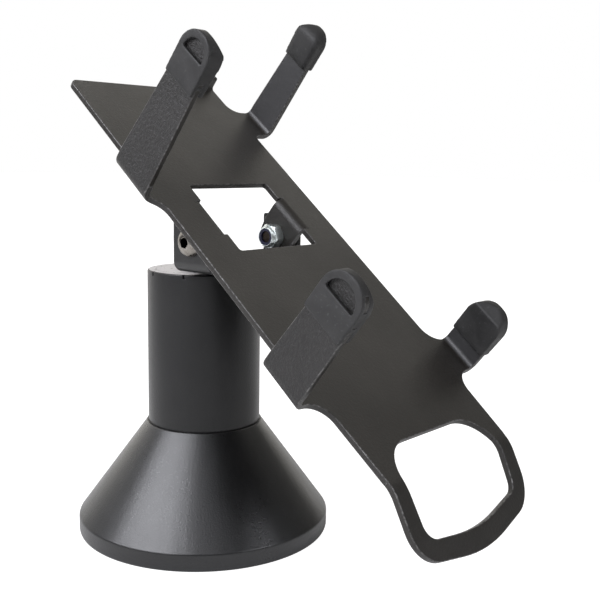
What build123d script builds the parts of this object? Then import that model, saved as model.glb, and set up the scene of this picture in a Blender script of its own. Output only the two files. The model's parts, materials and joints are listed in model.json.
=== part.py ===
"""Swivel and tilt counter stand for a hand-held card payment terminal.

Origin: centre of the round base on the counter.  +Z up, the cradle faces -Y, tilt axis along X.
"""
from build123d import *
from math import cos, radians, sin, sqrt, tan
import os

# ---------------------------------------------------------------- driving dimensions (mm)
BASE_R = 45.0            # round foot
BASE_RIM_H = 6.0
CONE_TOP_R = 20.5
CONE_TOP_Z = 39.5
COLUMN_R = 20.0
COLUMN_WALL = 3.0
COLUMN_TOP_Z = 94.0
NOTCH_ANGLES = (165, 207)   # small marks in the column's upper rim
NOTCH_W = 0.8
NOTCH_H = 1.6
SOCKET_DEPTH = 2.0       # column tube let into the top of the cone
FOOT_R = 40.0            # mounting disc and pad under the cone
PAD_T = 1.0
DISC_T = 3.0
COUNTER_HOLE_R = 2.6     # three counter screws
COUNTER_PCD_R = 30.0

SHEET = 2.0              # all sheet steel
BRACKET_Z = 95.55        # underside of the swivel bracket
BRACKET_BEND_R = 1.5     # inside bend radius
EAR_OUTER_X = 22.6
EAR_DEPTH = 16.5         # ear size along Y, centred on the tilt axis
EAR_TOP = 7.8            # above the tilt axis
TONGUE_R = 9.0

PIVOT_Y = -17.5          # tilt axis
PIVOT_Z = 105.7
REST_TILT = 39.5         # cradle plate from horizontal
FACE_N = 11.0            # front face of the cradle plate from the tilt axis

HALF_WIDTH = 34.6
PLATE_TOP = 70.0
NECK_HALF = 32.4
LOOP_BEND_V = -106.4     # fold line between plate and hand loop
LOOP_ANGLE = 23.5
LOOP_BEND_R = 12.0
LOOP_HALF = 31.2
HOLE_HALF = 25.3         # opening of the hand loop, narrower towards its lower end
HOLE_TOP = -93.8
HOLE_TOP_R = 12.5
WINDOW_HALF_W = 18.5
WINDOW_HALF_H = 15.5

TAB_INNER_X = 17.8       # hinge tabs folded back from the window
TAB_HALF = 7.8
TAB_END_R = 6.5
RELIEF = 0.12            # slit at each end of a tab fold
CLIP_BEND_R = 2.0
LIP_X0 = 12.0            # small stop lip on the top edge
LIP_X1 = 33.0
LIP_H = 5.0

CAP_WALL = 1.3           # rubber cap over each clip
CAP_FOOT = 1.7           # rubber on the terminal side at the open end, growing to the pad
CAP_RIDGE = 3.2          # thickest line of the pad, below the tip
CAP_EDGE = 0.55

SCREW_R = 2.5            # M5 tilt screws
HEAD_R = 4.75
HEAD_H = 2.75
NUT_AF = 8.0
NUT_HEX_H = 3.6
NUT_COLLAR_R = 3.7
NUT_TOTAL_H = 5.0
INSERT_Z = 3.4           # nylon locking ring in the nut collar
INSERT_R = 2.05
GAP = 0.05               # running clearance

# side, outer face x, root v (low, high), tip v (low, high), rubber tip above the plate, rubber length, pad
CLIPS = {
    "upper_left": (-1, 41.4, (10.2, 27.8), (11.8, 24.4), 54.0, 17.2, 2.9),
    "upper_right": (1, 44.1, (43.5, 57.2), (44.3, 55.0), 45.3, 15.2, 2.9),
    "lower_left": (-1, 43.5, (-74.6, -58.2), (-73.3, -59.3), 41.3, 17.2, 1.9),
    "lower_right": (1, 44.1, (-78.5, -64.5), (-78.2, -64.9), 22.4, 16.1, 2.9),
}
BACK_N = FACE_N - SHEET


def outline(corners):
    """Closed face through corners (x, y, radius), each corner rounded to its radius."""
    arcs = []
    for i, (x, y, r) in enumerate(corners):
        here = Vector(x, y)
        back = (Vector(*corners[i - 1][:2]) - here).normalized()
        ahead = (Vector(*corners[(i + 1) % len(corners)][:2]) - here).normalized()
        half = radians(back.get_angle(ahead)) / 2
        reach = r / tan(half)
        middle = here + (back + ahead).normalized() * (r / sin(half) - r)
        arcs.append((here + back * reach, middle, here + ahead * reach, r))
    edges = []
    for i, (start, middle, end, r) in enumerate(arcs):
        if r > 0:
            edges.append(ThreePointArc(start, middle, end))
        following = arcs[(i + 1) % len(arcs)][0]
        if (following - end).length > 1e-6:
            edges.append(Line(end, following))
    return make_face(edges)


def along_x(face, x0, x1):
    """Extrude a face drawn in (y, z) from x0 to x1."""
    return extrude(Plane(origin=(x0, 0, 0), x_dir=(0, 1, 0), z_dir=(1, 0, 0)) * face, x1 - x0)


def along_y(face, y0, y1):
    """Extrude a face drawn in (x, z) from y0 to y1."""
    return extrude(Plane(origin=(0, y1, 0), x_dir=(1, 0, 0), z_dir=(0, -1, 0)) * face, y1 - y0)


def rod(r, z0, z1, x=0, y=0):
    return Pos(x, y, (z0 + z1) / 2) * Cylinder(r, z1 - z0)


def rod_x(r, x0, x1, y=0, z=0):
    return Pos((x0 + x1) / 2, y, z) * Rot(0, 90, 0) * Cylinder(r, abs(x1 - x0))


def box(x0, x1, y0, y1, z0, z1):
    return Pos((x0 + x1) / 2, (y0 + y1) / 2, (z0 + z1) / 2) * Box(x1 - x0, y1 - y0, z1 - z0)


def spin(points):
    """Turned part from (radius, height) points."""
    return revolve(Plane.XZ * make_face(Polyline(*points, close=True)), Axis.Z)


def hexagon(across_flats, height):
    return extrude(RegularPolygon(across_flats / sqrt(3), 6), height)


def mirrored_x(shape, side):
    return shape if side > 0 else mirror(shape, Plane.YZ)


# ---------------------------------------------------------------- base
def make_base_cone():
    return spin([
        (FOOT_R + 0.5, 0), (BASE_R - 0.6, 0), (BASE_R, 0.6), (BASE_R, BASE_RIM_H),
        (CONE_TOP_R, CONE_TOP_Z), (COLUMN_R + 0.05, CONE_TOP_Z),
        (COLUMN_R + 0.05, CONE_TOP_Z - SOCKET_DEPTH), (6, CONE_TOP_Z - SOCKET_DEPTH),
        (6, 31), (16, 31), (FOOT_R - 0.5, 9), (FOOT_R - 0.5, PAD_T + DISC_T + 0.5),
        (FOOT_R + 0.5, PAD_T + DISC_T),
    ])


def make_column_tube():
    tube = spin([
        (COLUMN_R - COLUMN_WALL, CONE_TOP_Z - SOCKET_DEPTH), (COLUMN_R, CONE_TOP_Z - SOCKET_DEPTH),
        (COLUMN_R, COLUMN_TOP_Z - 0.4), (COLUMN_R - 0.4, COLUMN_TOP_Z),
        (COLUMN_R - COLUMN_WALL, COLUMN_TOP_Z),
    ])
    half = NOTCH_W / 2
    notch = box(COLUMN_R - 0.8, COLUMN_R + 1, -half, half, COLUMN_TOP_Z - NOTCH_H, COLUMN_TOP_Z + 1)
    for angle in NOTCH_ANGLES:
        tube -= Rot(0, 0, angle) * notch
    return tube


def make_column_plug():
    plug = rod(COLUMN_R - COLUMN_WALL - 0.05, COLUMN_TOP_Z - 18, COLUMN_TOP_Z)
    plug -= rod(3.05, COLUMN_TOP_Z - 8.5, COLUMN_TOP_Z)
    plug -= rod(4.05, COLUMN_TOP_Z - 18, COLUMN_TOP_Z - 9.5)
    return plug


def counter_holes(shape, r):
    for place in PolarLocations(COUNTER_PCD_R, 3, start_angle=90):
        shape -= place * rod(r, -1, 6)
    return shape


def make_pad():
    return counter_holes(rod(FOOT_R, 0, PAD_T), COUNTER_HOLE_R)


def make_disc():
    disc = counter_holes(rod(FOOT_R, PAD_T, PAD_T + DISC_T), COUNTER_HOLE_R)
    for place in PolarLocations(COUNTER_PCD_R, 3, start_angle=90):
        disc -= place * Pos(0, 0, PAD_T + DISC_T - 1.2) * Cone(COUNTER_HOLE_R, COUNTER_HOLE_R + 2.4, 2.4)
    return disc - rod(4.05, -1, 6)


# ---------------------------------------------------------------- swivel bracket
def make_bracket():
    top = BRACKET_Z + SHEET
    ear_top = PIVOT_Z + EAR_TOP
    outer_r = BRACKET_BEND_R + SHEET
    profile = outline([
        (-EAR_OUTER_X, ear_top, 0), (-EAR_OUTER_X, BRACKET_Z, outer_r), (EAR_OUTER_X, BRACKET_Z, outer_r),
        (EAR_OUTER_X, ear_top, 0), (EAR_OUTER_X - SHEET, ear_top, 0),
        (EAR_OUTER_X - SHEET, top, BRACKET_BEND_R), (SHEET - EAR_OUTER_X, top, BRACKET_BEND_R),
        (SHEET - EAR_OUTER_X, ear_top, 0),
    ])
    y0 = PIVOT_Y - EAR_DEPTH / 2
    y1 = PIVOT_Y + EAR_DEPTH / 2
    side = outline([
        (y0, BRACKET_Z, 0), (y1, BRACKET_Z, 0), (y1, ear_top, 0.8), (y0, ear_top, EAR_TOP - 0.05),
    ])
    bracket = along_y(profile, y0, y1) & along_x(side, -30, 30)
    tongue = outline([
        (-TONGUE_R - 3, y0 + 4, 0), (TONGUE_R + 3, y0 + 4, 0), (TONGUE_R + 3, y1, 0), (TONGUE_R, y1, 3),
        (TONGUE_R, TONGUE_R, TONGUE_R - 0.05), (-TONGUE_R, TONGUE_R, TONGUE_R - 0.05), (-TONGUE_R, y1, 3),
        (-TONGUE_R - 3, y1, 0),
    ])
    bracket += Pos(0, 0, BRACKET_Z) * extrude(tongue, SHEET)
    bracket -= rod(3.0 + GAP, BRACKET_Z - 1, top + 1)
    bracket -= rod_x(SCREW_R + GAP, -30, 30, PIVOT_Y, PIVOT_Z)
    return bracket


def make_swivel_screw():
    head_z = BRACKET_Z + SHEET + GAP + 1.0
    screw = rod(3.0, COLUMN_TOP_Z - 8, head_z)
    head = spin([(0, head_z), (5.25, head_z), (5.25, head_z + 0.7), (4.4, head_z + 2.2), (2.9, head_z + 3.2),
                 (0, head_z + 3.2)])
    return screw + head - Pos(0, 0, head_z + 1.2) * hexagon(4.0, 3)


# ---------------------------------------------------------------- cradle plate (own frame)
def make_strip(outer_x, root, tip, height):
    """Right-hand clip: quarter bend and tapered upright with a rounded end."""
    bend_x = outer_x - CLIP_BEND_R - SHEET
    end_n = FACE_N + height - CAP_WALL
    fold = outline([
        (bend_x - 0.5, BACK_N, 0), (outer_x, BACK_N, CLIP_BEND_R + SHEET), (outer_x, end_n, 0),
        (outer_x - SHEET, end_n, 0), (outer_x - SHEET, FACE_N, CLIP_BEND_R), (bend_x - 0.5, FACE_N, 0),
    ])
    taper = outline([
        (root[0] - 12, BACK_N - 1, 0), (root[1] + 12, BACK_N - 1, 0), (root[1] + 12, FACE_N + 1, 0),
        (root[1], FACE_N + 4, 0), (tip[1], end_n, 5), (tip[0], end_n, 5), (root[0], FACE_N + 4, 0),
        (root[0] - 12, FACE_N + 1, 0),
    ])
    return along_y(fold, root[0] - 10, root[1] + 10) & along_x(taper, outer_x - 20, outer_x + 5)


def make_plate():
    low_l = CLIPS["lower_left"][2]
    low_r = CLIPS["lower_right"][2]
    up_l = CLIPS["upper_left"][2]
    up_r = CLIPS["upper_right"][2]
    blank = outline([
        (-HALF_WIDTH, PLATE_TOP, 3), (-HALF_WIDTH, up_l[1], 4), (-52, up_l[1], 0), (-52, up_l[0], 0),
        (-HALF_WIDTH, up_l[0], 7), (-HALF_WIDTH, low_l[1], 5), (-52, low_l[1], 0), (-52, low_l[0], 0),
        (-NECK_HALF, low_l[0], 7.5), (-LOOP_HALF, LOOP_BEND_V, 0), (LOOP_HALF, LOOP_BEND_V, 0),
        (NECK_HALF, low_r[0], 7.5), (52, low_r[0], 0), (52, low_r[1], 0), (HALF_WIDTH, low_r[1], 6.5),
        (HALF_WIDTH, up_r[0], 3), (52, up_r[0], 0), (52, up_r[1], 0), (LIP_X1, up_r[1], 5),
        (LIP_X1, PLATE_TOP, 0),
    ])
    plate = Pos(0, 0, BACK_N) * extrude(blank, SHEET)
    tower = Pos(0, 0, BACK_N - 1) * extrude(blank, 80)

    for clip in CLIPS.values():
        side, outer_x, root = clip[:3]
        bend_x = outer_x - CLIP_BEND_R - SHEET
        plate -= box(min(side * bend_x, side * 60), max(side * bend_x, side * 60),
                     root[0] - 12, root[1] + 12, BACK_N - 1, FACE_N + 1)
        plate += mirrored_x(make_strip(*clip[1:5]), side) & tower

    lip_v = PLATE_TOP + 3.4
    lip = outline([
        (PLATE_TOP - 3, BACK_N, 0), (lip_v, BACK_N, SHEET + 1.2), (lip_v, FACE_N + LIP_H, 0.6),
        (lip_v - SHEET, FACE_N + LIP_H, 0.6), (lip_v - SHEET, FACE_N, 1.2), (PLATE_TOP - 3, FACE_N, 0),
    ])
    plate += along_x(lip, LIP_X0, LIP_X1)

    window = Pos(0, 0, BACK_N - 1) * extrude(
        RectangleRounded(2 * WINDOW_HALF_W, 2 * WINDOW_HALF_H, 1.0), SHEET + 2)
    tab_bend_x = TAB_INNER_X + SHEET + 1.5
    plate -= window
    plate -= box(-tab_bend_x, tab_bend_x, -TAB_HALF - RELIEF, TAB_HALF + RELIEF, BACK_N - 1, FACE_N + 1)
    for side in (-1, 1):
        fold = outline([
            (tab_bend_x + 0.5, FACE_N, 0), (TAB_INNER_X, FACE_N, SHEET + 1.5),
            (TAB_INNER_X, -TAB_END_R, 0), (TAB_INNER_X + SHEET, -TAB_END_R, 0),
            (TAB_INNER_X + SHEET, BACK_N, 1.5), (tab_bend_x + 0.5, BACK_N, 0),
        ])
        shape = outline([
            (-TAB_HALF, FACE_N, 0), (TAB_HALF, FACE_N, 0), (TAB_HALF, 2, 2),
            (TAB_END_R - 0.3, -TAB_END_R, TAB_END_R - 0.5), (0.3 - TAB_END_R, -TAB_END_R, TAB_END_R - 0.5),
            (-TAB_HALF, 2, 2),
        ])
        plate += mirrored_x(along_y(fold, -TAB_HALF, TAB_HALF), side) & along_x(shape, -30, 30)
    plate -= rod_x(SCREW_R + 0.1, -TAB_INNER_X - SHEET - 1, TAB_INNER_X + SHEET + 1)

    angle = radians(LOOP_ANGLE)
    outer_r = LOOP_BEND_R + SHEET
    setback = outer_r * tan(angle / 2)
    centre_v = LOOP_BEND_V + setback
    plate -= box(-60, 60, LOOP_BEND_V - 5, centre_v, BACK_N - 1, FACE_N + 1)
    wedge_points = [
        (centre_v + 0.01, FACE_N), (centre_v + 0.01, BACK_N), (centre_v, BACK_N),
        (centre_v - LOOP_BEND_R * sin(angle), FACE_N - outer_r + LOOP_BEND_R * cos(angle)),
        (centre_v - outer_r * sin(angle), FACE_N - outer_r + outer_r * cos(angle)), (centre_v, FACE_N),
    ]
    outer_mid = (centre_v - outer_r * sin(angle / 2), FACE_N - outer_r + outer_r * cos(angle / 2))
    inner_mid = (centre_v - LOOP_BEND_R * sin(angle / 2), FACE_N - outer_r + LOOP_BEND_R * cos(angle / 2))
    sector = make_face([
        Line(wedge_points[2], wedge_points[5]), ThreePointArc(wedge_points[5], outer_mid, wedge_points[4]),
        Line(wedge_points[4], wedge_points[3]), ThreePointArc(wedge_points[3], inner_mid, wedge_points[2]),
    ])
    plate += along_x(sector, -LOOP_HALF, LOOP_HALF)
    loop = outline([
        (LOOP_HALF, -setback, 0), (-LOOP_HALF, -setback, 0), (-LOOP_HALF, -20.9, 11), (0, -26.1, 60),
        (LOOP_HALF - 0.6, -18.9, 12),
    ])
    opening_low = outline([
        (HOLE_HALF - 1.1, 10, 0), (1.1 - HOLE_HALF, 10, 0), (-HOLE_HALF, 0, 20),
        (0.7 - HOLE_HALF, -15.9, 5.5), (0, -19.3, 60), (HOLE_HALF - 1.5, -14.0, 4), (HOLE_HALF, 0, 20),
    ])
    opening_high = outline([
        (HOLE_HALF, LOOP_BEND_V - 5, 0), (HOLE_HALF, HOLE_TOP, HOLE_TOP_R), (-HOLE_HALF, HOLE_TOP, HOLE_TOP_R),
        (-HOLE_HALF, LOOP_BEND_V - 5, 0),
    ])
    loop_frame = Pos(0, LOOP_BEND_V, FACE_N) * Rot(LOOP_ANGLE, 0, 0)
    plate += loop_frame * Pos(0, 0, -SHEET) * extrude(loop, SHEET)
    cut_low = loop_frame * Pos(0, 0, -SHEET - 2) * extrude(opening_low, SHEET + 4)
    cut_low &= box(-40, 40, LOOP_BEND_V - 40, centre_v, -60, 40)
    plate -= cut_low
    cut_high = Pos(0, 0, BACK_N - 1) * extrude(opening_high, SHEET + 2)
    plate -= cut_high & box(-40, 40, centre_v - 0.05, 0, 0, 40)
    return plate


def make_cap(side, outer_x, root, tip, height, length, pad):
    """Rubber cap pulled over the clip end, with a half-moon opening on the outer face."""
    top = FACE_N + height
    start = top - length
    mid = (tip[0] + tip[1]) / 2
    half = (tip[1] - tip[0]) / 2 + CAP_EDGE
    x_out = outer_x + CAP_WALL
    x_foot = outer_x - SHEET - CAP_FOOT
    x_pad = outer_x - SHEET - pad
    shape = outline([
        (mid - half, start, 0.6), (mid + half, start, 0.6), (mid + half, top, half - 0.05),
        (mid - half, top, half - 0.05),
    ])
    side_view = outline([
        (x_foot, start, 0.5), (x_out, start, 0.5), (x_out, top, 0.8), (outer_x - SHEET + 0.2, top, 0.8),
        (x_pad, top - CAP_RIDGE, 0.6),
    ])
    cap = along_x(shape, x_pad, x_out) & along_y(side_view, mid - half - 1, mid + half + 1)
    cap -= make_strip(outer_x, root, tip, height)
    moon_r = half - 2.0
    moon_n = top - half - 0.5
    moon = along_x(Pos(mid, moon_n) * Circle(moon_r), outer_x - 0.5, x_out + 1)
    moon &= box(outer_x - 1, x_out + 2, mid - 10, mid + 10, moon_n, top)
    return mirrored_x(cap - moon, side)


# ---------------------------------------------------------------- tilt hardware (own frame, right side)
def make_tilt_screw():
    face = EAR_OUTER_X + GAP
    head = spin([(0, 0), (HEAD_R, 0), (HEAD_R, 0.5), (4.2, 1.6), (3.1, 2.4), (1.9, HEAD_H), (0, HEAD_H)])
    head -= Pos(0, 0, HEAD_H - 1.7) * hexagon(3.0, 3)
    shank = rod_x(SCREW_R, TAB_INNER_X - INSERT_Z, face) + rod_x(INSERT_R, TAB_INNER_X - INSERT_Z - 0.9, face)
    return Pos(face, 0, 0) * Rot(0, 90, 0) * head + shank


def make_tilt_nut():
    chamfered = spin([(0, 0), (4.1, 0), (4.62, 0.35), (4.62, 3.1), (4.0, NUT_HEX_H), (0, NUT_HEX_H)])
    nut = hexagon(NUT_AF, NUT_HEX_H) & chamfered
    nut += spin([(0, 3), (NUT_COLLAR_R, 3), (NUT_COLLAR_R, 4.4), (3.2, NUT_TOTAL_H), (0, NUT_TOTAL_H)])
    nut -= rod(SCREW_R + 0.02, -1, 6)
    nut -= rod(3.15, INSERT_Z, 4.7)
    nut -= rod(3.0, 4.6, 6)
    return Pos(TAB_INNER_X, 0, 0) * Rot(0, -90, 0) * nut


def make_nut_insert():
    ring = rod(3.13, INSERT_Z + 0.02, 4.68) + rod(2.98, 4.5, 4.85) - rod(INSERT_R + 0.02, 0, 6)
    return Pos(TAB_INNER_X, 0, 0) * Rot(0, -90, 0) * ring


def make_friction_washer():
    x0 = TAB_INNER_X + SHEET
    x1 = EAR_OUTER_X - SHEET - GAP
    return rod_x(6.0, x0, x1) - rod_x(SCREW_R + 0.05, x0 - 1, x1 + 1)


CRADLE = Pos(0, PIVOT_Y, PIVOT_Z) * Rot(REST_TILT, 0, 0)
washer_z = BRACKET_Z + SHEET + GAP
parts = {
    "base_cone": make_base_cone(),
    "column_tube": make_column_tube(),
    "column_plug": make_column_plug(),
    "mounting_disc": make_disc(),
    "adhesive_pad": make_pad(),
    "centre_stud": rod(4.0, PAD_T, COLUMN_TOP_Z - 10),
    "stud_nut": Pos(0, 0, PAD_T + DISC_T) * hexagon(13.0, 6.5) - rod(4.02, 0, 20),
    "swivel_spacer": rod(6.3, COLUMN_TOP_Z, BRACKET_Z - GAP) - rod(3.05, COLUMN_TOP_Z - 1, BRACKET_Z + 1),
    "swivel_washer": rod(6.2, washer_z, washer_z + 1.0) - rod(3.05, washer_z - 1, washer_z + 2),
    "swivel_screw": make_swivel_screw(),
    "swivel_bracket": make_bracket(),
    "cradle_plate": CRADLE * make_plate(),
}
for place, clip in CLIPS.items():
    parts["rubber_cap_" + place] = CRADLE * make_cap(*clip)
for place, side in (("left", -1), ("right", 1)):
    parts["tilt_screw_" + place] = CRADLE * mirrored_x(make_tilt_screw(), side)
    parts["tilt_nut_" + place] = CRADLE * mirrored_x(make_tilt_nut(), side)
    parts["nut_insert_" + place] = CRADLE * mirrored_x(make_nut_insert(), side)
    parts["friction_washer_" + place] = CRADLE * mirrored_x(make_friction_washer(), side)

os.makedirs("parts", exist_ok=True)
for name, shape in parts.items():
    shape.label = name
    export_step(shape, "parts/" + name + ".step")
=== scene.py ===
"""Swivel and tilt stand for a card payment terminal: finishes, small wear, painted edge highlights, painted
light on the clips' inner faces and studio around the CAD frame.
"""
import json
import math

import bmesh
import bpy
from mathutils import Matrix, Vector


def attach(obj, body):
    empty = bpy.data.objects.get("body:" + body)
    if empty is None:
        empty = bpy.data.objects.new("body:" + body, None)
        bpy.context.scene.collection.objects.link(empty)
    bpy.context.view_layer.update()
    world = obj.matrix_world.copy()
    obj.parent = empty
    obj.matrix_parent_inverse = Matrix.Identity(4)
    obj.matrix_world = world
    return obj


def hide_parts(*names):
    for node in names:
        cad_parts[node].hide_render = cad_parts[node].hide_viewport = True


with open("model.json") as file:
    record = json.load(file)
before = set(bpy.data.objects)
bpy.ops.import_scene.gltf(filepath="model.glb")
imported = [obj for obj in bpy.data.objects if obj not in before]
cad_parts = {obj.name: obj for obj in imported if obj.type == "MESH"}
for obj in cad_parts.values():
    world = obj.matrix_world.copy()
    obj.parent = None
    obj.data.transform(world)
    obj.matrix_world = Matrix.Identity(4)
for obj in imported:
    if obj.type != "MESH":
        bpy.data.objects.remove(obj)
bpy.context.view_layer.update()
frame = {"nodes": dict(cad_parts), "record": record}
nodes = frame["nodes"]
scene = bpy.context.scene
MM = 0.001

# camera, in metres
LENS = 56.337                           # millimetres, on the sensor below
SENSOR_WIDTH = 36.0
CAMERA_AT = (-0.228295, -0.243628, 0.132768)
CAMERA_AHEAD = (0.74666, 0.64856, -0.14787)
CAMERA_ROLL = math.radians(0.84)
CAMERA_NEAR = 0.01
CAMERA_FAR = 60.0

# where one finish of the object gives way to another
REST_TILT = math.radians(39.5)          # of the cradle plate from horizontal
CLIP_OUTSIDE_X = 40.5 * MM              # outer faces of the clips lie beyond this
CLIP_INSIDE_X = 36.0 * MM               # inner faces of the clips lie beyond this
TUBE_FACED_Z = 93.0 * MM                # only the column's end is above this
BOLT_END_X = 14.5 * MM                  # the bare ends of the tilt screws are nearer the middle
FACING = 0.5                            # cosine from which a face counts as turned to a direction
LEVEL = 0.9                             # cosine from which a face counts as level

# mesh finishing
WELD = 0.002 * MM
FLAT_SHEET = math.radians(0.6)          # faces that meet flatter than this become one
FLAT_RUBBER = math.radians(0.1)
BEVEL_FROM = math.radians(28)           # edges that turn more than this are rounded
BEVEL_SEGMENTS = 2
NORMAL_WEIGHT = 80
CAP_VOXEL = 0.3 * MM

# spans of a noise that are stretched over a colour or a roughness
CLOUD = (0.35, 0.68)
DRIFT = (0.3, 0.7)

# studio, in metres and degrees
FLOOR_HALF = 6.0
BOUNCE_DROP = 0.3 * MM                  # of the lighting floor below the one that is seen
PANEL_CENTRE_Z = 0.05
PANEL_STEP = 6                          # degrees between a panel's rows and columns
PANEL_RADIUS = 1.2
DOME_RADIUS = 1.3
WORLD_GLOW = 1.0
COOL = (0.98, 0.99, 1.05)
WARM = (1.04, 1.01, 0.95)


# ---------------------------------------------------------------- camera
def add_camera():
    """In front, to the left and a little above the tilt axis, looking slightly down."""
    data = bpy.data.cameras.new("camera")
    data.lens = LENS
    data.sensor_width = SENSOR_WIDTH
    data.clip_start = CAMERA_NEAR
    data.clip_end = CAMERA_FAR
    camera = bpy.data.objects.new("camera", data)
    scene.collection.objects.link(camera)
    ahead = Vector(CAMERA_AHEAD).normalized()
    right = ahead.cross(Vector((0, 0, 1))).normalized()
    up = right.cross(ahead)
    rolled_right = right * math.cos(CAMERA_ROLL) + up * math.sin(CAMERA_ROLL)
    rolled_up = up * math.cos(CAMERA_ROLL) - right * math.sin(CAMERA_ROLL)
    place = Matrix((rolled_right, rolled_up, -ahead)).transposed().to_4x4()
    place.translation = Vector(CAMERA_AT)
    camera.matrix_world = place
    scene.camera = camera


# ---------------------------------------------------------------- node material kit
class Nodes:
    """Small helper around one material's node tree."""

    def __init__(self, name):
        self.material = bpy.data.materials.new(name)
        self.material.use_nodes = True
        self.tree = self.material.node_tree
        self.tree.nodes.clear()
        self.output = self.add("ShaderNodeOutputMaterial")
        self.shader = self.add("ShaderNodeBsdfPrincipled")
        self.link(self.shader, "BSDF", self.output, "Surface")
        self.coords = self.add("ShaderNodeTexCoord")

    def add(self, kind, **values):
        node = self.tree.nodes.new(kind)
        for key, value in values.items():
            setattr(node, key, value)
        return node

    def link(self, a, out, b, into):
        self.tree.links.new(a.outputs[out], b.inputs[into])

    def noise(self, scale, detail=4.0, rough=0.55, stretch=(1, 1, 1)):
        mapping = self.add("ShaderNodeMapping")
        mapping.inputs["Scale"].default_value = stretch
        self.link(self.coords, "Object", mapping, "Vector")
        node = self.add("ShaderNodeTexNoise")
        node.inputs["Scale"].default_value = scale
        node.inputs["Detail"].default_value = detail
        node.inputs["Roughness"].default_value = rough
        self.link(mapping, "Vector", node, "Vector")
        return node

    def ramp(self, source, low, high, a, b, out="Fac"):
        """The source's values from low to high, stretched to run from a to b."""
        node = self.add("ShaderNodeMapRange")
        node.inputs["From Min"].default_value = low
        node.inputs["From Max"].default_value = high
        node.inputs["To Min"].default_value = a
        node.inputs["To Max"].default_value = b
        self.link(source, out, node, "Value")
        return node

    def math(self, kind, a, b):
        node = self.add("ShaderNodeMath", operation=kind)
        for slot, value in enumerate((a, b)):
            if isinstance(value, (int, float)):
                node.inputs[slot].default_value = value
            else:
                self.tree.links.new(value.outputs[0], node.inputs[slot])
        return node

    def mix(self, factor, a, b):
        node = self.add("ShaderNodeMix", data_type="RGBA")
        self.tree.links.new(factor.outputs[0], node.inputs[0])
        for socket, value in ((6, a), (7, b)):
            if isinstance(value, tuple):
                node.inputs[socket].default_value = (*value, 1)
            else:
                self.tree.links.new(value.outputs[2], node.inputs[socket])
        return node

    def edges(self, radius):
        """0 on faces, rising to 1 along outer and inner edges."""
        bevel = self.add("ShaderNodeBevel", samples=6)
        bevel.inputs["Radius"].default_value = radius
        geometry = self.add("ShaderNodeNewGeometry")
        dot = self.add("ShaderNodeVectorMath", operation="DOT_PRODUCT")
        self.link(bevel, "Normal", dot, 0)
        self.link(geometry, "Normal", dot, 1)
        return self.ramp(dot, 0.995, 0.86, 0.0, 1.0, "Value")

    def bump(self, height, strength, distance, before=None):
        node = self.add("ShaderNodeBump")
        node.inputs["Strength"].default_value = strength
        node.inputs["Distance"].default_value = distance
        self.tree.links.new(height.outputs[0], node.inputs["Height"])
        if before:
            self.link(before, "Normal", node, "Normal")
        return node

    def finish(self, color, rough, normal, metallic=0.0, specular=0.5):
        self.tree.links.new(color.outputs[2], self.shader.inputs["Base Color"])
        self.tree.links.new(rough.outputs[0], self.shader.inputs["Roughness"])
        self.link(normal, "Normal", self.shader, "Normal")
        self.shader.inputs["Metallic"].default_value = metallic
        self.shader.inputs["Specular IOR Level"].default_value = specular
        return self.material


def powder_coat(name, dark, light, edge, rough, grain, grain_depth, specular):
    """Sprayed and baked coat: fine grit, slow orange peel, faint handling marks and paler edges, partly worn
    and partly a painted highlight.
    """
    n = Nodes(name)
    mottling = n.noise(38, 5, 0.6)
    grit = n.noise(grain, 3, 0.7)
    peel = n.noise(420, 2, 0.5)
    body = n.mix(n.ramp(mottling, *CLOUD, 0, 1), dark, light)
    pale = tuple(min(1.0, 1.9 * channel) for channel in light)
    speck = n.mix(n.ramp(grit, 0.56, 0.74, 0, 0.55), body, pale)
    scuffs = n.noise(210, 6, 0.75)
    # paler edges: partly wear, partly a painted highlight along them
    wear = n.math("MULTIPLY", n.edges(0.45 * MM), n.ramp(scuffs, 0.38, 0.66, 0.12, 0.75))
    color = n.mix(wear, speck, edge)
    smear = n.noise(24, 6, 0.65, (1, 1, 0.5))
    rough_base = n.ramp(smear, 0.3, 0.72, rough - 0.05, rough + 0.06)
    rough_all = n.math("ADD", rough_base, n.ramp(grit, 0.3, 0.75, -0.03, 0.06))
    normal = n.bump(peel, 0.25, 0.04 * MM)
    normal = n.bump(grit, 1.0, grain_depth, normal)
    return n.finish(color, rough_all, normal, specular=specular)


def rubbed_and_highlit_edge(name, coat, bright, rough):
    """Pale strip along an edge, partly coat rubbed thin and partly a painted highlight of the light on the
    rounded edge, broken up into short brighter dashes.
    """
    n = Nodes(name)
    dashes = n.noise(900, 5, 0.7)
    cloud = n.noise(70, 3, 0.5)
    where = n.ramp(cloud, 0.36, 0.62, 0.3, 1.0)
    amount = n.math("MULTIPLY", n.ramp(dashes, 0.42, 0.62, 0.05, 1.0), where)
    color = n.mix(amount, coat, bright)
    rough_node = n.ramp(dashes, 0.4, 0.65, rough + 0.1, rough - 0.08)
    return n.finish(color, rough_node, n.bump(dashes, 0.3, 0.03 * MM))


def rubber(name, rounding=0.0):
    """Moulded rubber with a dull bloom, dust in the grain and rubbed edges.
    Rounding softens its creases in the shading only, not in the mesh."""
    n = Nodes(name)
    bloom = n.noise(150, 5, 0.6)
    dust = n.noise(900, 4, 0.7)
    lumps = n.noise(230, 2, 0.5)
    body = n.mix(n.ramp(bloom, 0.36, 0.66, 0, 1), (0.012, 0.0117, 0.0117), (0.0236, 0.023, 0.0228))
    dusty = n.mix(n.ramp(dust, 0.58, 0.75, 0, 0.5), body, (0.075, 0.077, 0.076))
    wear = n.math("MULTIPLY", n.edges(0.5 * MM), 0.35)
    color = n.mix(wear, dusty, (0.07, 0.075, 0.077))
    rough = n.ramp(bloom, *DRIFT, 0.5, 0.66)
    creases = None
    if rounding:
        creases = n.add("ShaderNodeBevel", samples=8)
        creases.inputs["Radius"].default_value = rounding
    normal = n.bump(lumps, 0.35, 0.25 * MM, creases)
    normal = n.bump(dust, 0.5, 0.03 * MM, normal)
    return n.finish(color, rough, normal, specular=0.45)


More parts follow.
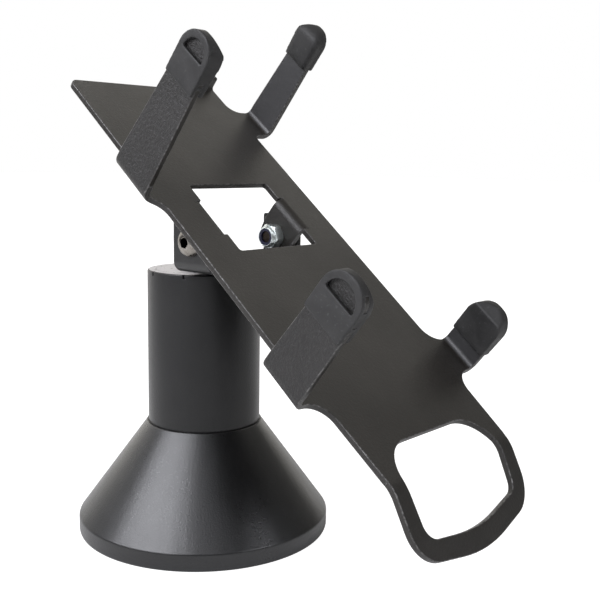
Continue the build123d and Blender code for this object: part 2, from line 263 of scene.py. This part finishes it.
def metal(name, dark, light, rough, metallic=1.0):
    """Steel, plated or bare: fine lines from machining, a cloudy surface and small pits."""
    n = Nodes(name)
    cloud = n.noise(330, 5, 0.6)
    lines = n.noise(900, 3, 0.6)
    pits = n.noise(1500, 2, 0.5)
    body = n.mix(n.ramp(cloud, *CLOUD, 0, 1), dark, light)
    color = n.mix(n.ramp(pits, 0.64, 0.76, 0, 0.6), body, (0.2, 0.18, 0.15))
    rough_node = n.ramp(cloud, *DRIFT, rough - 0.06, rough + 0.12)
    normal = n.bump(lines, 0.4, 0.02 * MM)
    return n.finish(color, rough_node, normal, metallic=metallic)


def plain_plastic(name, dark, light, rough):
    """Nylon or foam, slightly cloudy, with a fine skin."""
    n = Nodes(name)
    cloud = n.noise(420, 4, 0.6)
    skin = n.noise(1700, 3, 0.6)
    color = n.mix(n.ramp(cloud, *CLOUD, 0, 1), dark, light)
    rough_node = n.ramp(cloud, *DRIFT, rough - 0.05, rough + 0.08)
    return n.finish(color, rough_node, n.bump(skin, 0.5, 0.02 * MM))


def make_materials():
    """Finish of every material slot, plus the extra ones for edges, sides and machined ends; the edge
    finishes paint a highlight besides wear, and the clips' inner coat paints light.
    """
    return {
        "base_coat": powder_coat(
            "base_satin_coat", (0.0042, 0.0042, 0.0044), (0.0072, 0.0072, 0.0075), (0.03, 0.03, 0.03),
            rough=0.31, grain=1700, grain_depth=0.06 * MM, specular=0.66,
        ),
        "column_coat": powder_coat(
            "column_satin_coat", (0.0042, 0.0042, 0.0043), (0.0072, 0.0071, 0.0071), (0.03, 0.03, 0.03),
            rough=0.35, grain=1500, grain_depth=0.06 * MM, specular=0.39,
        ),
        "bracket_coat": powder_coat(
            "bracket_satin_coat", (0.0085, 0.0085, 0.0082), (0.0135, 0.0135, 0.013), (0.06, 0.06, 0.06),
            rough=0.38, grain=1700, grain_depth=0.05 * MM, specular=0.5,
        ),
        "cradle_coat": powder_coat(
            "cradle_textured_coat", (0.0118, 0.0102, 0.0084), (0.0178, 0.0157, 0.0132), (0.05, 0.046, 0.042),
            rough=0.4, grain=1150, grain_depth=0.09 * MM, specular=0.5,
        ),
        "cradle_back_coat": powder_coat(
            "cradle_back_coat", (0.0105, 0.0098, 0.0092), (0.0185, 0.0172, 0.0165), (0.05, 0.047, 0.045),
            rough=0.4, grain=900, grain_depth=0.42 * MM, specular=0.41,
        ),
        # the clips' inner faces: the front's paint made paler and glossier, as painted light falling on them
        "clip_inner_painted_light_coat": powder_coat(
            "clip_inner_painted_light_coat", (0.0155, 0.015, 0.016), (0.021, 0.0205, 0.0215), (0.05, 0.048, 0.048),
            rough=0.42, grain=1150, grain_depth=0.02 * MM, specular=0.66,
        ),
        # pale edge strips: partly rubbed coat, partly a painted highlight of the light on the rounded edges
        "bracket_edge": rubbed_and_highlit_edge("bracket_rubbed_highlit_edge", (0.012, 0.012, 0.012), (0.05, 0.05, 0.05), 0.4),
        "cradle_edge": rubbed_and_highlit_edge("cradle_rubbed_highlit_edge", (0.016, 0.0145, 0.0125), (0.15, 0.146, 0.142), 0.38),
        "plug_metal": metal("faced_steel", (0.56, 0.545, 0.56), (0.66, 0.645, 0.66), 0.3, metallic=0.5),
        "hidden_steel": metal("hidden_zinc", (0.4, 0.41, 0.42), (0.6, 0.61, 0.62), 0.38),
        "zinc": metal("bright_zinc", (0.8, 0.87, 0.86), (0.93, 0.98, 0.96), 0.34),
        "screw_zinc": metal("dull_zinc", (0.19, 0.175, 0.155), (0.31, 0.29, 0.26), 0.27),
        "bolt_end": metal("browned_steel", (0.035, 0.027, 0.022), (0.075, 0.06, 0.05), 0.42),
        "pad_foam": plain_plastic("foam_pad", (0.012, 0.012, 0.012), (0.025, 0.025, 0.025), 0.8),
        "spacer_plastic": plain_plastic("black_nylon", (0.01, 0.01, 0.011), (0.02, 0.02, 0.021), 0.5),
        "nylon": plain_plastic("blue_nylon", (0.011, 0.011, 0.036), (0.02, 0.02, 0.06), 0.35),
        "cap_rubber": rubber("cap_rubber"),
        "round_cap_rubber": rubber("round_cap_rubber", rounding=3.5 * MM),
    }


# ---------------------------------------------------------------- finished meshes
def finish_with(piece, finishes):
    """Give the piece these finishes, in this order."""
    piece.data.materials.clear()
    for finish in finishes:
        piece.data.materials.append(materials[finish])


def copied(node, name):
    """A free copy of a CAD node's mesh."""
    mesh = nodes[node].data.copy()
    mesh.name = name
    piece = bpy.data.objects.new(name, mesh)
    scene.collection.objects.link(piece)
    return piece


def applied(piece):
    """Bake the modifiers of a piece into its mesh."""
    graph = bpy.context.evaluated_depsgraph_get()
    baked = bpy.data.meshes.new_from_object(piece.evaluated_get(graph), depsgraph=graph)
    piece.modifiers.clear()
    piece.data = baked


def merged(piece, flat):
    """Weld the mesh and drop the edges inside its flat faces, so that only real edges are left."""
    work = bmesh.new()
    work.from_mesh(piece.data)
    bmesh.ops.remove_doubles(work, verts=work.verts, dist=WELD)
    bmesh.ops.dissolve_limit(work, angle_limit=flat, verts=work.verts, edges=work.edges)
    for face in work.faces:
        face.smooth = True
    for edge in work.edges:
        edge.smooth = True
    work.to_mesh(piece.data)
    work.free()


def softened(node, width, finishes):
    """A node with its sharp edges rounded.  The rounded strips take the second finish if it is an edge's."""
    piece = copied(node, node + "_finished")
    finish_with(piece, finishes)
    if piece.data.has_custom_normals:
        piece.data.normals_split_custom_set([(0, 0, 0)] * len(piece.data.loops))
    merged(piece, FLAT_SHEET)
    bevel = piece.modifiers.new("edge", "BEVEL")
    bevel.width = width
    bevel.segments = BEVEL_SEGMENTS
    bevel.limit_method = "ANGLE"
    bevel.angle_limit = BEVEL_FROM
    # one tight spot, such as a thin slit, would otherwise hold back every strip of a piece
    bevel.use_clamp_overlap = node.startswith("tilt_nut")
    # the rounded strips take the pale edge finish: partly worn coat, partly painted highlight
    bevel.material = int(any(finish.endswith("_edge") for finish in finishes))
    weighted = piece.modifiers.new("normals", "WEIGHTED_NORMAL")
    weighted.keep_sharp = False
    weighted.weight = NORMAL_WEIGHT
    applied(piece)
    return piece


def moulded(node, passes, finish):
    """A rubber piece, with soft edges as from a mould.  More smoothing passes make it rounder."""
    piece = copied(node, node + "_moulded")
    finish_with(piece, (finish,))
    merged(piece, FLAT_RUBBER)
    remesh = piece.modifiers.new("skin", "REMESH")
    remesh.mode = "VOXEL"
    remesh.voxel_size = CAP_VOXEL
    remesh.use_smooth_shade = True
    smooth = piece.modifiers.new("round", "SMOOTH")
    smooth.factor = 0.5
    smooth.iterations = passes
    applied(piece)
    return piece


def coat_sides(piece, back, inside):
    """Give the sheet's back and the clips' outer faces one coat, and the clips' inner faces a paler, glossier
    copy of the front coat that paints light onto them.
    """
    front = Vector((0, -math.sin(REST_TILT), math.cos(REST_TILT)))
    for face in piece.data.polygons:
        if face.material_index:
            continue
        outward = face.normal.x * math.copysign(1, face.center.x)
        aside = abs(face.center.x)
        if face.normal.dot(front) < -FACING or (aside > CLIP_OUTSIDE_X and outward > FACING):
            face.material_index = back
        # painted light: the clips' inner faces take the paler copy of the front coat
        elif aside > CLIP_INSIDE_X and outward < -FACING:
            face.material_index = inside


def bare_top_face(piece, slot):
    """Leave the column's end as bare metal."""
    for face in piece.data.polygons:
        if face.normal.z > LEVEL and face.center.z > TUBE_FACED_Z:
            face.material_index = slot


def use(piece, node):
    """Let a finished piece stand for its CAD node, on the same body."""
    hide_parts(node)
    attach(piece, body_of[node])


slot_of = {part["node"]: part["material_slot"] for part in frame["record"]["subparts"]}
body_of = {
    node: body
    for body, members in frame["record"]["behaviour"]["bodies"].items()
    for node in members
}

add_camera()
materials = make_materials()
for node, obj in nodes.items():
    obj.data.materials.clear()
    obj.data.materials.append(materials[slot_of[node]])

# node, radius of its rounded edges in mm, finishes
FINISHED = (
    ("base_cone", 0.5, ("base_coat",)),
    ("column_tube", 0.25, ("column_coat", "plug_metal")),
    ("swivel_screw", 0.2, ("hidden_steel",)),
    ("swivel_washer", 0.15, ("hidden_steel",)),
    ("swivel_bracket", 0.3, ("bracket_coat", "bracket_edge")),
    ("cradle_plate", 0.3, ("cradle_coat", "cradle_edge", "cradle_back_coat", "clip_inner_painted_light_coat")),
    ("tilt_nut_left", 0.12, ("zinc",)),
    ("tilt_nut_right", 0.12, ("zinc",)),
)
for node, width, finishes in FINISHED:
    piece = softened(node, width * MM, finishes)
    use(piece, node)
    if node == "cradle_plate":
        coat_sides(piece, finishes.index("cradle_back_coat"), finishes.index("clip_inner_painted_light_coat"))
    if node == "column_tube":
        bare_top_face(piece, finishes.index("plug_metal"))

for node in ("tilt_screw_left", "tilt_screw_right"):
    finishes = ("screw_zinc", "bolt_end")
    screw = softened(node, 0.18 * MM, finishes)
    for face in screw.data.polygons:
        if abs(face.center.x) < BOLT_END_X:
            face.material_index = finishes.index("bolt_end")
    use(screw, node)

# smoothing passes and rubber of each cap: the creases of the right-hand ones run softer
for corner, passes, finish in (
    ("upper_left", 5, "cap_rubber"),
    ("lower_left", 5, "cap_rubber"),
    ("upper_right", 14, "round_cap_rubber"),
    ("lower_right", 12, "cap_rubber"),
):
    node = "rubber_cap_" + corner
    use(moulded(node, passes, finish), node)


# ---------------------------------------------------------------- studio
def add_floor(name, height, glow, light):
    """Sheet of pale paper."""
    mesh = bpy.data.meshes.new(name)
    corners = [(x * FLOOR_HALF, y * FLOOR_HALF, height) for x, y in ((-1, -1), (1, -1), (1, 1), (-1, 1))]
    mesh.from_pydata(corners, [], [(0, 1, 2, 3)])
    floor = bpy.data.objects.new(name, mesh)
    scene.collection.objects.link(floor)
    n = Nodes(name)
    cloud = n.noise(3, 3, 0.5)
    fibres = n.noise(900, 3, 0.6)
    color = n.mix(n.ramp(cloud, *CLOUD, 0, 1), (light - 0.02,) * 3, (light,) * 3)
    rough = n.ramp(cloud, *DRIFT, 0.85, 0.95)
    n.shader.inputs["Emission Color"].default_value = (1, 1, 1, 1)
    n.shader.inputs["Emission Strength"].default_value = glow
    mesh.materials.append(n.finish(color, rough, n.bump(fibres, 0.05, 0.02 * MM), specular=0.1))
    return floor


def add_floors():
    """The floor that is seen, and just below it the one that lights the object and shows in its gloss."""
    seen = add_floor("studio_floor", height=0.0, glow=0.97, light=0.3)
    seen.visible_diffuse = False
    seen.visible_glossy = False
    seen.visible_shadow = False
    bounce = add_floor("bounce_floor", height=-BOUNCE_DROP, glow=0.0, light=0.92)
    bounce.visible_camera = False


def add_panel(name, azimuths, heights, radius, tone, tint=(1, 1, 1)):
    """Curved studio panel with an even glow, seen in the object's gloss but not by the camera."""
    steps = max(2, round((azimuths[1] - azimuths[0]) / PANEL_STEP))
    rows = max(2, round((heights[1] - heights[0]) / PANEL_STEP))
    points = []
    for row in range(rows + 1):
        rise = math.radians(heights[0] + (heights[1] - heights[0]) * row / rows)
        for step in range(steps + 1):
            turn = math.radians(azimuths[0] + (azimuths[1] - azimuths[0]) * step / steps)
            across = radius * math.cos(rise)
            up = PANEL_CENTRE_Z + radius * math.sin(rise)
            points.append((across * math.cos(turn), across * math.sin(turn), up))
    faces = []
    for row in range(rows):
        for step in range(steps):
            at = row * (steps + 1) + step
            faces.append((at, at + 1, at + steps + 2, at + steps + 1))
    mesh = bpy.data.meshes.new(name)
    mesh.from_pydata(points, [], faces)
    panel = bpy.data.objects.new(name, mesh)
    scene.collection.objects.link(panel)
    material = bpy.data.materials.new(name)
    material.use_nodes = True
    tree = material.node_tree
    tree.nodes.clear()
    output = tree.nodes.new("ShaderNodeOutputMaterial")
    glow = tree.nodes.new("ShaderNodeEmission")
    glow.inputs["Color"].default_value = (*tint, 1)
    glow.inputs["Strength"].default_value = tone
    tree.links.new(glow.outputs[0], output.inputs["Surface"])
    mesh.materials.append(material)
    panel.visible_camera = False


def add_world():
    """Plain white behind everything."""
    world = bpy.data.worlds.new("studio")
    scene.world = world
    world.use_nodes = True
    background = world.node_tree.nodes["Background"]
    background.inputs["Color"].default_value = (1, 1, 1, 1)
    background.inputs["Strength"].default_value = WORLD_GLOW


add_floors()
add_world()
add_panel("dim_dome", (-180, 180), (-2, 90), DOME_RADIUS, 0.1)
# azimuths and heights in degrees, strength, tint
for name, azimuths, heights, tone, tint in (
    ("main_softbox", (136, 200), (22, 47), 7.2, COOL),
    ("main_softbox_top", (150, 204), (47, 60), 4.8, COOL),
    ("main_softbox_spill", (200, 250), (33, 46), 2.1, COOL),
    ("left_edge_fill", (112, 136), (20, 42), 0.6, COOL),
    ("left_back_fill", (80, 120), (8, 33), 0.7, COOL),
    ("right_softbox", (-36, 38), (33, 60), 0.85, WARM),
    ("right_back_box", (38, 62), (30, 60), 2.7, WARM),
    ("right_fill", (-20, 40), (20, 33), 0.4, WARM),
    ("back_ring", (0, 95), (-2, 12), 1.25, WARM),
    ("front_box", (-100, -60), (20, 33), 4.1, COOL),
    ("front_ring", (-60, 0), (-2, 20), 0.15, WARM),
    ("far_side_box", (72, 112), (12, 50), 1.8, WARM),
    ("top_box", (-180, 180), (66, 90), 0.4, WARM),
):
    add_panel(name, azimuths, heights, PANEL_RADIUS, tone, tint)
scene.view_settings.view_transform = "Standard"
scene.view_settings.look = "None"
